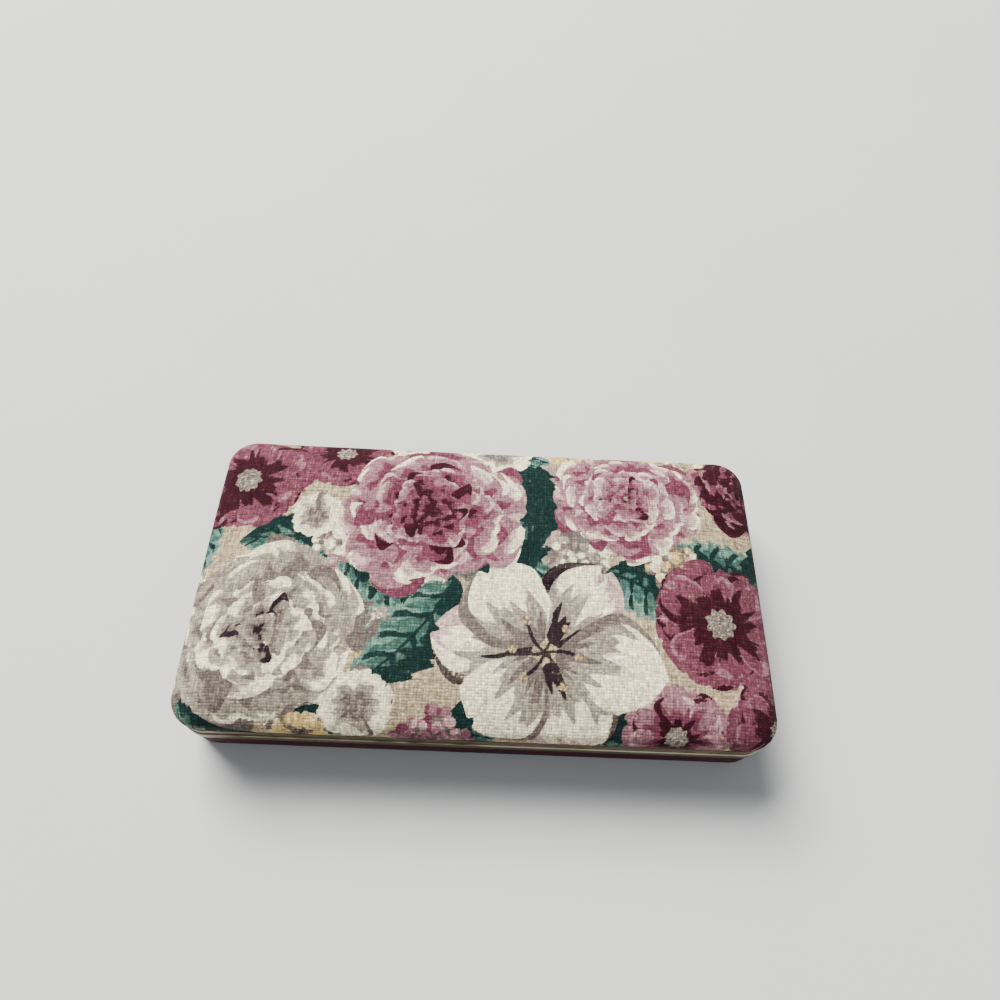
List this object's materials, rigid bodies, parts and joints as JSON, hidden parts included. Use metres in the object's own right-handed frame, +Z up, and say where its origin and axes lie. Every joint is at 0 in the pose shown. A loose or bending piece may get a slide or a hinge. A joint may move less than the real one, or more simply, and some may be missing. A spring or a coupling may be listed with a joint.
{
  "type": "travel jewelry box",
  "caption": "Flat hinged travel case with a padded cloth-covered lid, brass rims, a leatherette base, a lid mirror, ring rolls and compartments.",
  "frame": {"origin": "middle of the underside of the whole closed box, hinge knuckles included, on the surface that it stands on", "axes": "+X to the right along the long side, +Y to the back, where the hinge is, +Z up"},
  "size_m": [0.184, 0.1054, 0.0335],
  "materials": {
    "burgundy_leatherette": "grained leatherette over a pressed pan",
    "brass": "satin, slightly tarnished",
    "velvet": "short flocked pile",
    "roll_velvet": "velvet over a soft core",
    "board": "plain moulded",
    "foam": "open-cell foam",
    "printed_cloth": "slubby cotton weave with a floral print",
    "card": "plain grey board",
    "mirror": "silvered glass",
    "gilt_plastic": "gilt, metallised",
    "nickel": "nickel plated"
  },
  "bodies": {
    "base": {"base_shell": "burgundy_leatherette", "base_rim": "brass", "base_lining": "velvet", "ring_bay_divider": "velvet", "long_divider": "velvet", "short_divider": "velvet", "ring_roll_1": "roll_velvet", "ring_roll_2": "roll_velvet", "ring_roll_3": "roll_velvet", "ring_roll_4": "roll_velvet", "ring_roll_5": "roll_velvet", "ring_roll_6": "roll_velvet", "magnet_left": "nickel", "magnet_right": "nickel", "hinge_base_leaf_left": "brass", "hinge_base_leaf_right": "brass", "hinge_pin_left": "nickel", "hinge_pin_right": "nickel", "base_rivet_left_outer": "brass", "base_rivet_left_inner": "brass", "base_rivet_right_inner": "brass", "base_rivet_right_outer": "brass"},
    "lid": {"lid_rim": "brass", "lid_shell": "board", "lid_pad": "foam", "lid_cover": "printed_cloth", "lid_lining": "velvet", "mirror_backing": "card", "mirror_glass": "mirror", "mirror_frame": "gilt_plastic", "keeper_left": "nickel", "keeper_right": "nickel", "hinge_lid_leaf_left": "brass", "hinge_lid_leaf_right": "brass", "lid_rivet_left_outer": "brass", "lid_rivet_left_inner": "brass", "lid_rivet_right_inner": "brass", "lid_rivet_right_outer": "brass"}
  },
  "joints": [
    {"name": "lid_hinge", "type": "hinge", "parent": "base", "child": "lid", "pos_m": [0, 0.05025, 0.01625], "axis": [-1, 0, 0], "range_deg": [0, 95]}
  ]
}
